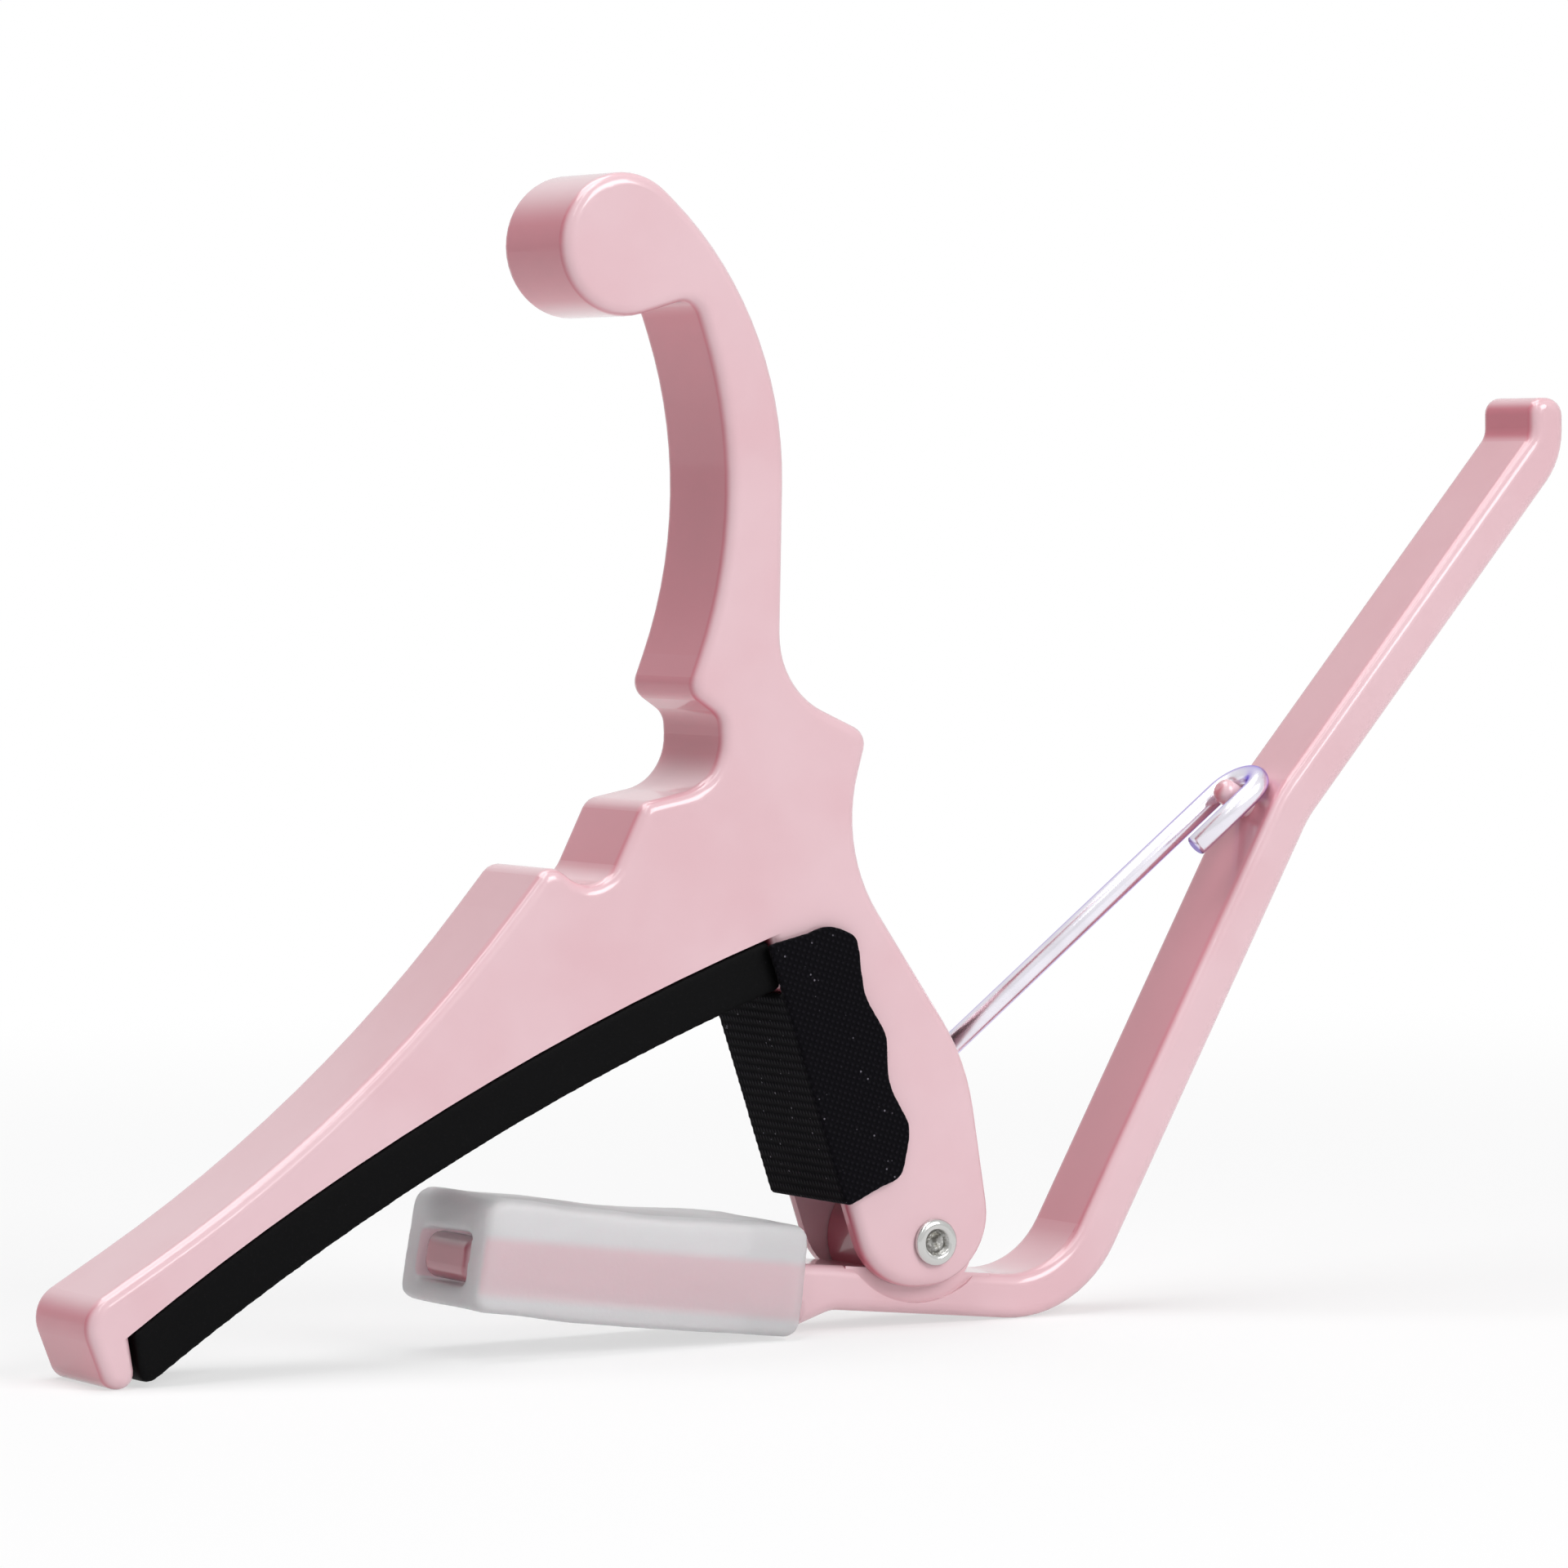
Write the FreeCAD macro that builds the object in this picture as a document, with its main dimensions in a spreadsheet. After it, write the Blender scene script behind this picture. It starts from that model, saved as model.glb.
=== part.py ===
"""Spring capo for a guitar neck: two painted castings, a rivet pivot, a torsion spring and soft fittings.

Every piece is drawn about the pivot (X to the handle's side, Z up, Y along the rivet). The last step
moves all of them together, so that the origin is under the middle of the capo, on the surface it stands on.
"""
import FreeCAD, Part
import math
import os

import Sketcher

SIZES = {
    # both castings
    "body_width": 9.5,          # upper arm, along the rivet
    "arm_width": 7.0,           # lower arm, along the rivet
    "edge_radius": 0.9,
    "foot_drop": 6.2,           # pivot down to the surface the capo stands on
    # string bar
    "bar_reach": 66.9,          # pivot to the bar's nose
    "lip": 3.3,                 # nose to the pad's seat
    "seat_back": 13.3,          # pivot back to the seat's other end
    "seat_rise": 22.55,
    "seat_sag": 1.9,
    "crest_back": 31.3,         # top corner of the bar, beside the first notch
    "crest_rise": 28.2,
    # thumb lever
    "knob_radius": 5.05,
    "knob_back": 24.4,
    "lever_top": 76.65,
    # fork
    "ear_radius": 5.75,
    "ear_offset": 0.75,
    "ear_rise": 2.5,
    "slot_width": 6.6,
    "slot_top": 17.5,
    "fork_waist": 16.3,
    # lower arm
    "tongue_reach": 37.2,
    "tongue_rise": 0.9,
    "tongue_thickness": 3.3,
    "tongue_sag": 0.2,
    "mouth_back": 10.7,
    "mouth_drop": 2.7,
    "eye_radius": 4.3,
    "side_play": 0.12,
    "pocket_radius": 7.0,
    "pocket_offset": 0.4,
    "handle_thickness": 3.5,
    "handle_reach": 57.2,
    "handle_rise": 60.6,
    "kink_reach": 33.9,
    "kink_rise": 29.4,
    # rivet and cross pin
    "rivet_radius": 1.25,
    "rivet_head_radius": 1.7,
    "rivet_head_height": 0.55,
    "rivet_recess_radius": 1.0,
    "rivet_recess_depth": 0.4,
    "rivet_play": 0.05,
    "anchor_radius": 1.8,
    "anchor_back": 4.8,
    "anchor_rise": 9.2,
    "seat_play": 0.02,
    # torsion spring
    "wire_radius": 0.8,
    "coil_radius": 3.0,
    "coil_offset": 2.3,         # coil's middle to the centre line of its end turns
    "coil_top": 16.5,
    "leg_angle": 37.3,
    "leg_length": 40.1,
    "hook_radius": 2.15,
    "hook_return": 5.9,
    "wire_gap": 0.25,
    "nub_radius": 0.95,
    "nub_height": 3.7,
    # soft fittings
    "pad_thickness": 3.8,
    "pad_width": 9.1,
    "pad_gap": 0.1,
    "pad_trim": 0.25,
    "pad_lean": 1.8,            # how far the end beside the lip leans outward
    "pad_round": 0.7,
    "sleeve_width": 12.2,
    "sleeve_top_wall": 2.8,
    "sleeve_bottom_wall": 1.6,
    "sleeve_edge": 0.8,
    "sleeve_fit": 0.2,
    "cloth": 0.6,
    "cloth_gap": 0.1,
}

doc = FreeCAD.newDocument("Capo")
sheet = doc.addObject("Spreadsheet::Sheet", "Sizes")
for row, (alias, value) in enumerate(SIZES.items(), start=1):
    sheet.set(f"A{row}", alias)
    sheet.set(f"B{row}", str(value))
    sheet.setAlias(f"B{row}", alias)
doc.recompute()
size = {alias: float(sheet.get(alias)) for alias in SIZES}


# ---------------------------------------------------------------- outlines

def at(x, z):
    """A point of an outline: x towards the handle, z up, from the pivot."""
    return FreeCAD.Vector(x, z, 0)


def polar(centre, radius, degrees):
    """The point of a circle at an angle counted from +X towards +Z."""
    turn = math.radians(degrees)
    return centre + at(radius * math.cos(turn), radius * math.sin(turn))


def tangent_angle(point, centre, radius):
    """Angle on a circle where the line from a point at its upper left touches its left side."""
    gap = centre - point
    aim = math.atan2(gap.y, gap.x)
    turn = math.asin(radius / gap.Length)
    return math.degrees(aim - turn) - 90


def rounded(corners, closing_arc=None):
    """Edges of a closed outline through (point, radius) corners: straight runs joined by tangent arcs.

    A radius of 0 leaves its corner sharp. With closing_arc, the last corner joins the first by an arc
    through that point.
    """
    entries, exits, arcs = [], [], []
    count = len(corners)
    for i, (corner, radius) in enumerate(corners):
        if radius == 0:
            entries.append(corner)
            exits.append(corner)
            arcs.append(None)
            continue
        back = (corners[i - 1][0] - corner).normalize()
        ahead = (corners[(i + 1) % count][0] - corner).normalize()
        half = back.getAngle(ahead) / 2
        run = radius / math.tan(half)
        middle = corner + (back + ahead).normalize() * (radius / math.sin(half) - radius)
        entries.append(corner + back * run)
        exits.append(corner + ahead * run)
        arcs.append(Part.Arc(entries[-1], middle, exits[-1]))
    edges = []
    for i in range(count):
        if arcs[i]:
            edges.append(arcs[i])
        end = entries[(i + 1) % count]
        if i == count - 1 and closing_arc:
            edges.append(Part.Arc(exits[i], closing_arc, end))
        elif (end - exits[i]).Length > 0.002:
            edges.append(Part.LineSegment(exits[i], end))
    return edges


def parallel(path, distance):
    """The points of an open path moved off to its left by a distance."""
    moved = []
    for i, point in enumerate(path):
        runs = [(b - a).normalize() for a, b in zip(path[max(i - 1, 0):i + 1], path[max(i, 1):i + 2])]
        sides = [at(-run.y, run.x) for run in runs]
        total = sides[0] + sides[-1]
        moved.append(point + total * (distance * 2 / total.dot(total)))
    return moved


def crossing(point, run, other, other_run):
    """Where two straight lines cross, each given by a point and a direction."""
    gap = other - point
    turn = run.x * other_run.y - run.y * other_run.x
    return point + run * ((gap.x * other_run.y - gap.y * other_run.x) / turn)


class Bow:
    """An arc between two points that stands a given sag off their chord, and the arcs alongside it."""

    def __init__(self, start, end, sag):
        chord = end - start
        side = at(-chord.y, chord.x).normalize()
        self.radius = (chord.Length ** 2 / 4 + sag ** 2) / (2 * abs(sag))
        self.sign = 1 if sag > 0 else -1
        self.centre = (start + end) * 0.5 + side * (sag - self.sign * self.radius)
        self.angles = [self.angle(start), self.angle(end)]
        if self.angles[0] - self.angles[1] > 180:
            self.angles[0] -= 360

    def angle(self, point):
        gap = point - self.centre
        return math.degrees(math.atan2(gap.y, gap.x))

    def point(self, share, offset=0.0, along=0.0):
        """The point a share of the way along, off to the left side, and moved on along the arc."""
        step = math.degrees(along / self.radius) * (-self.sign)
        turn = self.angles[0] + (self.angles[1] - self.angles[0]) * share + step
        return polar(self.centre, self.radius + self.sign * offset, turn)

    def carries(self, middle):
        """Whether a point of the model (x, y, z) is on the arc."""
        return abs((at(middle.x, middle.z) - self.centre).Length - self.radius) < 0.05

    def band(self, left, right, trim_start=0.0, trim_end=0.0, lean=0.0):
        """The closed strip between two offsets, with its ends moved in along the arc.

        lean moves the far corner of the first end back out, so that this end is cut aslant.
        """
        shares = (0.0, 0.5, 1.0)
        upper = [self.point(s, left, a) for s, a in zip(shares, (trim_start, 0.0, -trim_end))]
        lower = [self.point(s, right, a) for s, a in zip(shares, (trim_start - lean, 0.0, -trim_end))]
        return [Part.Arc(*upper), Part.LineSegment(upper[2], lower[2]),
                Part.Arc(lower[2], lower[1], lower[0]), Part.LineSegment(lower[0], upper[0])]


# ---------------------------------------------------------------- features

def new_body(name):
    body = doc.addObject("PartDesign::Body", name)
    body.Label = name
    return body


def sketch_on(body, role, name, edges):
    """A sketch on one of the body's own origin planes."""
    plane = next(f for f in body.Origin.OriginFeatures if f.Role == role)
    sketch = body.newObject("Sketcher::SketchObject", name)
    sketch.AttachmentSupport = [(plane, "")]
    sketch.MapMode = "FlatFace"
    sketch.addGeometry(edges)
    return sketch


def circle_on(body, role, name, centre, radius_alias, extra=""):
    """A sketch of one circle whose radius follows the sheet."""
    sketch = sketch_on(body, role, name, [Part.Circle(centre, FreeCAD.Vector(0, 0, 1), 1.0)])
    sketch.addConstraint(Sketcher.Constraint("Radius", 0, 1.0))
    sketch.setExpression("Constraints[0]", f"Sizes.{radius_alias}{extra}")
    return sketch


def extrude(body, kind, name, sketch, length):
    """A pad or pocket, even on both sides of its sketch, whose length is an expression on the sheet."""
    feature = body.newObject(f"PartDesign::{kind}", name)
    feature.Profile = sketch
    feature.SideType = "Symmetric"
    feature.setExpression("Length", length)
    before = body.Shape.Volume if kind == "Pocket" else None
    doc.recompute()
    if before is not None and not feature.Shape.Volume < before - 1e-3:
        raise RuntimeError(f"{name} cuts nothing")
    return feature


def revolve(body, name, sketch):
    """A full turn of a sketch about its own vertical axis."""
    feature = body.newObject("PartDesign::Revolution", name)
    feature.Profile = sketch
    feature.ReferenceAxis = (sketch, ["V_Axis"])
    feature.Angle = 360
    doc.recompute()
    return feature


def side_edges(shape, half_width, keep=lambda middle: True):
    """Names of the edges that lie in the two faces at plus and minus half_width along Y."""
    names = []
    for number, edge in enumerate(shape.Edges, start=1):
        flat = all(abs(abs(v.Y) - half_width) < 1e-4 for v in edge.Vertexes)
        middle = edge.valueAt((edge.FirstParameter + edge.LastParameter) / 2)
        if flat and abs(abs(middle.y) - half_width) < 1e-4 and keep(middle):
            names.append(f"Edge{number}")
    return names


def fillet(body, name, base, edges, radius):
    feature = body.newObject("PartDesign::Fillet", name)
    feature.Base = (base, edges)
    feature.setExpression("Radius", radius)
    doc.recompute()
    return feature


# ---------------------------------------------------------------- shared curves

nose = at(-size["bar_reach"], -size["foot_drop"])
seat = Bow(nose + at(size["lip"], 3.8), at(-size["seat_back"], size["seat_rise"]), size["seat_sag"])
tongue_end = at(-size["tongue_reach"], size["tongue_rise"])
tongue_root = at(-size["mouth_back"], -size["mouth_drop"])
tongue_bend = (tongue_end + tongue_root) * 0.5 + at(0, -2 * size["tongue_sag"])
tongue_run = (tongue_root - tongue_bend).normalize()
tongue_path = [tongue_end, tongue_bend, tongue_root]
TONGUE_BEND_RADIUS = 220.0
ear_centre = at(-size["ear_offset"], size["ear_rise"])
anchor = at(-size["anchor_back"], size["anchor_rise"])
pivot = at(0, 0)
nub_foot = at(30.95, 29.94)
NUB_TILT = 58.9
ear_touch = tangent_angle(seat.point(1.0), ear_centre, size["ear_radius"])
fork_top = seat.point(1.0)
fork_foot = polar(ear_centre, size["ear_radius"], ear_touch)


# ---------------------------------------------------------------- upper arm

def upper_arm_outline():
    radius = size["knob_radius"]
    knob = at(-size["knob_back"], size["lever_top"] - radius)
    crest = at(-size["crest_back"], size["crest_rise"])
    notch = knob + at(5.5, -3.7)
    bottom_touch = polar(knob, radius, -74.3)
    knob_corner = crossing(notch, bottom_touch - notch, knob + at(-radius, 0), at(0, 1))
    lever_back = polar(knob, radius, 48) + polar(pivot, 12.95, -42)
    waist = at(-12.2, 40.2)
    ear_low = ear_centre.y - size["ear_radius"]
    ear_bend = size["ear_radius"] - 0.6
    front_foot = crossing(fork_top, fork_foot - fork_top, at(0, ear_low), at(1, 0))
    corners = [
        # end lip and nose
        (seat.point(0.0), 0),
        (nose + at(3.9, 0), 1.1),
        (nose + at(1.6, 0), 1.3),
        (nose + at(-0.4, 5.3), 2.4),
        # bar and its two scooped notches
        (crest + at(-14.5, -16.7), 110),
        (crest + at(0.4, 0.3), 1.4),
        (crest + at(4.4, -2.6), 2.4),
        (crest + at(7.9, 4.2), 1.4),
        (crest + at(14.4, 5.4), 3.8),
        (at(-17.1, 38.3), 1.5),
        (at(-19.7, 40.1), 1.4),
        # front of the lever and the knob
        (at(notch.x + 4.7, 53.9), 33),
        (notch, 1.4),
        (knob_corner, radius),
        (knob + at(-radius, radius), radius),
        (knob + polar(pivot, radius / math.cos(math.radians(21)), 69), radius),
        # back of the lever, the armpit and the spur
        (lever_back, 26.0),
        (waist, 6.0),
        (at(-4.9, 36.8), 1.4),
        (at(-7.3, 28.6), 12),
        # back of the fork and the ear's round end
        (at(3.2, size["fork_waist"] - 3.3), 16),
        (ear_centre + at(size["ear_radius"] + 0.62, -size["ear_radius"]), ear_bend),
        (front_foot, ear_bend),
        (fork_top, 0),
    ]
    return rounded(corners, seat.point(0.5))


def make_upper_arm():
    body = new_body("upper_arm")
    pad = extrude(body, "Pad", "UpperArmBlank",
                  sketch_on(body, "XZ_Plane", "UpperArmOutline", upper_arm_outline()), "Sizes.body_width")
    # the seat's own edges stay square under the pad
    edges = side_edges(pad.Shape, size["body_width"] / 2, lambda middle: not seat.carries(middle))
    fillet(body, "UpperArmEdges", pad, edges, "Sizes.edge_radius")
    below = ear_centre.y - size["ear_radius"] - 5
    side = size["seat_back"] + 5
    slot = rounded([(at(-side, below), 0), (at(side, below), 0), (at(side, size["slot_top"]), 0),
                    (at(-side, size["slot_top"]), 0)])
    extrude(body, "Pocket", "ForkSlot", sketch_on(body, "XZ_Plane", "SlotOutline", slot), "Sizes.slot_width")
    extrude(body, "Pocket", "RivetHole",
            circle_on(body, "XZ_Plane", "RivetHoleCircle", pivot, "rivet_radius", " + Sizes.seat_play"),
            "Sizes.body_width * 2")
    extrude(body, "Pocket", "AnchorHole",
            circle_on(body, "XZ_Plane", "AnchorHoleCircle", anchor, "anchor_radius", " + Sizes.seat_play"),
            "Sizes.body_width * 2")
    return body


# ---------------------------------------------------------------- lower arm

def lower_arm_outline():
    half = size["tongue_thickness"] / 2
    thick = size["handle_thickness"]
    kink = at(size["kink_reach"], size["kink_rise"])
    tip = at(size["handle_reach"], size["handle_rise"])
    lower_run = polar(pivot, 1.0, 60.5)
    upper_run = (tip + at(-2.6, -7.7) - kink).normalize()
    inner_lower = kink + at(-lower_run.y, lower_run.x) * thick
    inner_upper = kink + at(-upper_run.y, upper_run.x) * thick
    top = parallel(tongue_path, half)
    under = parallel(tongue_path, -half)
    underside = at(-7.6, -4.6)
    inner_tip = crossing(inner_upper, upper_run, tip + at(-3.0, 0), at(0, 1))
    corners = [
        (top[0], 1.1),
        (top[1], TONGUE_BEND_RADIUS),
        (crossing(top[2], tongue_run, inner_lower, lower_run), 6.5),
        # inside of the handle, the upturned tip, the outside
        (crossing(inner_lower, lower_run, inner_upper, upper_run), 12),
        (inner_tip, 1.5),
        (tip + at(-3.0, 0), 1.2),
        (tip, 1.4),
        (crossing(kink, upper_run, tip, at(0, 1)), 6.0),
        (kink, 8.0),
        (crossing(kink, lower_run, underside, tongue_run), 9.6),
        # the underside and the heel at the sleeve's mouth
        (underside, 2.5),
        (under[2] + at(0.1, -1.3), 0),
        (under[2], 0),
        (under[1], TONGUE_BEND_RADIUS),
        (under[0], 1.1),
    ]
    return rounded(corners)


def make_lower_arm():
    body = new_body("lower_arm")
    pad = extrude(body, "Pad", "LowerArmBlank",
                  sketch_on(body, "XZ_Plane", "LowerArmOutline", lower_arm_outline()), "Sizes.arm_width")
    fillet(body, "LowerArmEdges", pad, side_edges(pad.Shape, size["arm_width"] / 2), "Sizes.edge_radius")
    # pockets beside the eye, which the ears turn in
    pocket_centre = at(-size["pocket_offset"], size["ear_rise"])
    extrude(body, "Pocket", "EarPockets",
            circle_on(body, "XZ_Plane", "PocketCircle", pocket_centre, "pocket_radius"), "Sizes.arm_width * 2")
    # the eye and the web under it fill the middle again
    web_width = "Sizes.slot_width - 2 * Sizes.side_play"
    extrude(body, "Pad", "Eye", circle_on(body, "XZ_Plane", "EyeCircle", pivot, "eye_radius"), web_width)
    reach = size["pocket_radius"] - 0.5
    top = parallel(tongue_path, size["tongue_thickness"] / 2)[2]
    left, right = (top + tongue_run * (x - top.x) for x in (-reach, reach - size["pocket_offset"] * 2))
    deep = at(0, -size["tongue_thickness"] * 0.75)
    web = rounded([(left, 0), (left + deep, 0), (right + deep, 0), (right, 0)])
    extrude(body, "Pad", "EyeWeb", sketch_on(body, "XZ_Plane", "WebOutline", web), web_width)
    extrude(body, "Pocket", "EyeHole",
            circle_on(body, "XZ_Plane", "EyeHoleCircle", pivot, "rivet_radius", " + Sizes.rivet_play"),
            "Sizes.arm_width * 2")
    # the nub on the handle, which stands in the spring's hook
    nub_turn = FreeCAD.Rotation(FreeCAD.Vector(0, 0, 1), NUB_TILT)
    height = size["nub_height"]
    radius = size["nub_radius"]
    half = rounded([(at(0, -0.6), 0), (at(radius, -0.6), 0), (at(radius, height), 0.7), (at(0, height), 0)])
    nub = sketch_on(body, "XZ_Plane", "NubOutline", half)
    nub.AttachmentOffset = FreeCAD.Placement(nub_foot, nub_turn)
    revolve(body, "Nub", nub)
    return body


# ---------------------------------------------------------------- rivet and pin

def make_pivot_rivet():
    body = new_body("pivot_rivet")
    shank = size["rivet_radius"]
    head = size["rivet_head_radius"]
    recess = size["rivet_recess_radius"]
    under = size["body_width"] / 2 + size["seat_play"]
    top = under + size["rivet_head_height"]
    floor = top - size["rivet_recess_depth"]
    half = [(at(0, floor), 0), (at(recess, floor), 0.12), (at(recess, top), 0.25), (at(head, top), 0.3),
            (at(head, under), 0), (at(shank, under), 0)]
    mirrored = [(at(point.x, -point.y), radius) for point, radius in reversed(half)]
    revolve(body, "Rivet", sketch_on(body, "XY_Plane", "RivetOutline", rounded(half + mirrored)))
    return body


def make_spring_pin():
    pin = doc.addObject("Part::Cylinder", "spring_pin")
    pin.Label = "spring_pin"
    pin.setExpression("Radius", "Sizes.anchor_radius")
    pin.setExpression("Height", "Sizes.body_width - 10 * Sizes.seat_play")
    doc.recompute()
    foot = FreeCAD.Vector(anchor.x, -pin.Height.Value / 2, anchor.y)
    pin.Placement = FreeCAD.Placement(foot, FreeCAD.Rotation(FreeCAD.Vector(1, 0, 0), -90))
    return pin


# ---------------------------------------------------------------- torsion spring

def in_model(point, y):
    """A point of an outline as a point of the model."""
    return FreeCAD.Vector(point.x, y, point.y)


def wire_solid(path, upright):
    """Round wire along a path, with a fixed direction that keeps its section from twisting."""
    edge = path.Edges[0]
    start = edge.valueAt(edge.FirstParameter)
    section = Part.Wire(Part.makeCircle(size["wire_radius"], start, edge.tangentAt(edge.FirstParameter)))
    pipe = Part.BRepOffsetAPI.MakePipeShell(path)
    pipe.setBiNormalMode(upright)
    pipe.setTransitionMode(1)
    pipe.add(section)
    pipe.build()
    pipe.makeSolid()
    return pipe.shape()


def solid_piece(name, shape):
    piece = doc.addObject("Part::Feature", name)
    piece.Label = name
    piece.Shape = shape
    return piece


def make_spring_coil():
    """The turns round the pin, and the short end that bears on the roof of the fork."""
    start_angle = size["leg_angle"] - 90
    turns = 2 + (start_angle + 180) / 360
    height = 2 * size["coil_offset"]
    helix = Part.makeHelix(height / turns, height, size["coil_radius"], 0, True)
    across = FreeCAD.Rotation(FreeCAD.Vector(1, 0, 0), 90)
    spin = FreeCAD.Rotation(FreeCAD.Vector(0, 1, 0), -start_angle)
    helix.Placement = FreeCAD.Placement(in_model(anchor, size["coil_offset"]), spin * across)
    end = in_model(anchor - at(size["coil_radius"], 0), -size["coil_offset"])
    top = FreeCAD.Vector(end.x, end.y, size["coil_top"])
    path = Part.Wire([helix.Edges[0], Part.makeLine(end, top)])
    return solid_piece("spring_coil", wire_solid(path, FreeCAD.Vector(0, 1, 0)))


def make_spring_leg():
    """The long leg, its hook across the handle and the short way back."""
    foot = polar(anchor, size["coil_radius"], size["leg_angle"] - 90)
    run = polar(pivot, 1.0, size["leg_angle"])
    hook = size["hook_radius"]
    splay = math.asin((hook - size["coil_offset"]) / size["leg_length"])
    reach = size["wire_gap"] + size["leg_length"] * math.cos(splay)
    bend = reach + hook * math.sin(splay)
    half_turn = math.radians(90 - math.degrees(splay)) / 2

    def on_leg(distance, y):
        return in_model(foot + run * distance, y)

    start = on_leg(size["wire_gap"], size["coil_offset"])
    top = on_leg(reach, hook * math.cos(splay))
    side = on_leg(bend + hook * math.sin(half_turn), hook * math.cos(half_turn))
    back = on_leg(bend, -hook)
    end = on_leg(bend - size["hook_return"], -hook)
    path = Part.Wire([Part.makeLine(start, top), Part.Arc(top, side, back).toShape(), Part.makeLine(back, end)])
    upright = in_model(at(-run.y, run.x), 0)
    return solid_piece("spring_leg", wire_solid(path, upright))


# ---------------------------------------------------------------- soft fittings

def make_string_pad():
    body = new_body("string_pad")
    strip = seat.band(-size["pad_gap"], -size["pad_thickness"], size["pad_trim"], size["pad_trim"],
                      size["pad_lean"])
    pad = extrude(body, "Pad", "PadStrip", sketch_on(body, "XZ_Plane", "StripOutline", strip), "Sizes.pad_width")
    # the corner beside the end lip is round
    corner = seat.point(0.0, -size["pad_thickness"], size["pad_trim"] - size["pad_lean"])
    nearby = [f"Edge{number}" for number, edge in enumerate(pad.Shape.Edges, start=1)
              if all((at(v.X, v.Z) - corner).Length < 0.05 for v in edge.Vertexes)]
    fillet(body, "PadNose", pad, nearby, "Sizes.pad_round")
    return body


def make_neck_sleeve():
    body = new_body("neck_sleeve")
    inside = size["tongue_thickness"] / 2 + size["sleeve_fit"]
    upper = parallel(tongue_path, inside + size["sleeve_top_wall"])
    lower = parallel(tongue_path, -inside - size["sleeve_bottom_wall"])
    outline = rounded([
        (upper[0] + at(-0.15, 0), 1.5),
        (upper[1], TONGUE_BEND_RADIUS),
        (upper[2] + tongue_run * -0.5, 1.2),
        (lower[2] + tongue_run * -0.9, 1.0),
        (lower[1], TONGUE_BEND_RADIUS),
        (lower[0] + at(-0.35, 0), 1.0),
    ])
    blank = extrude(body, "Pad", "SleeveBlank", sketch_on(body, "XZ_Plane", "SleeveOutline", outline),
                    "Sizes.sleeve_width")
    fillet(body, "SleeveEdges", blank, side_edges(blank.Shape, size["sleeve_width"] / 2), "Sizes.sleeve_edge")
    roof = parallel(tongue_path, inside)
    bed = parallel(tongue_path, -inside)
    beyond = 3.0
    end_run = (tongue_bend - tongue_end).normalize()
    cavity = rounded([
        (roof[0] - end_run * beyond, 0),
        (roof[1], TONGUE_BEND_RADIUS),
        (roof[2] + tongue_run * beyond, 0),
        (bed[2] + tongue_run * beyond, 0),
        (bed[1], TONGUE_BEND_RADIUS),
        (bed[0] - end_run * beyond, 0),
    ])
    extrude(body, "Pocket", "SleeveCavity", sketch_on(body, "XZ_Plane", "CavityOutline", cavity),
            "Sizes.arm_width + 2 * Sizes.sleeve_fit")
    return body


def make_fork_wrap():
    """A strip of cloth folded round the front of the fork, open behind the spring."""
    body = new_body("fork_wrap")
    down = (fork_foot - fork_top).normalize()
    ahead = at(down.y, -down.x)
    cloth = size["cloth"]
    gap = size["cloth_gap"]
    top = fork_top + ahead * (gap + cloth)
    foot = top + down * 20.3
    outline = rounded([
        (top + down * 0.4, 0),
        (fork_top + at(4.3, 1.3), 1.2),
        (at(-6.1, 22.8), 1.4),
        (at(-5.6, 18.2), 2.0),
        (at(-3.7, 15.4), 2.0),
        (at(-3.6, 11.6), 2.0),
        (at(-1.7, 8.6), 1.5),
        (at(-2.6, 4.4), 1.5),
        (foot, 0.5),
    ])
    extrude(body, "Pad", "WrapBlank", sketch_on(body, "XZ_Plane", "WrapOutline", outline),
            "Sizes.body_width + 2 * (Sizes.cloth + Sizes.cloth_gap)")
    # the fork stands between the flaps, and the front panel stops under the pad
    pad_corner = seat.point(1.0, -size["pad_thickness"], -size["pad_trim"])
    panel_top = (pad_corner - fork_top).dot(down) + 0.4
    front = fork_top + ahead * gap
    hollow = rounded([
        (front + down * 30, 0),
        (front + down * panel_top, 0),
        (front + down * panel_top + ahead * 5, 0),
        (front + down * -10 + ahead * 5, 0),
        (front + down * -10 + ahead * -30, 0),
        (front + down * 30 + ahead * -30, 0),
    ])
    extrude(body, "Pocket", "WrapHollow", sketch_on(body, "XZ_Plane", "HollowOutline", hollow),
            "Sizes.body_width + 2 * Sizes.cloth_gap")
    return body


# ---------------------------------------------------------------- build and write

pieces = [
    make_upper_arm(), make_lower_arm(), make_pivot_rivet(), make_spring_pin(), make_spring_coil(),
    make_spring_leg(), make_string_pad(), make_neck_sleeve(), make_fork_wrap(),
]
doc.recompute()
boxes = [piece.Shape.optimalBoundingBox(False, False) for piece in pieces]
middle_x = (min(box.XMin for box in boxes) + max(box.XMax for box in boxes)) / 2
floor_z = min(box.ZMin for box in boxes)
shift = FreeCAD.Vector(-middle_x, 0, -floor_z)
for piece in pieces:
    piece.Placement = FreeCAD.Placement(piece.Placement.Base + shift, piece.Placement.Rotation)
doc.recompute()
print(f"pivot at x {shift.x:.3f}, z {shift.z:.3f}")

os.makedirs("parts", exist_ok=True)
for feature in doc.Objects:
    if "Invalid" in feature.State or "Error" in feature.State:
        raise RuntimeError(f"{feature.Name} did not compute: {feature.State}")
for piece in pieces:
    shape = piece.Shape
    if shape.isNull() or not shape.isValid() or len(shape.Solids) != 1:
        raise RuntimeError(f"{piece.Label} is not one valid solid")
    shape.exportStep(f"parts/{piece.Label}.step")
    print(f"{piece.Label}: {shape.Volume:.1f} mm3")
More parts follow.
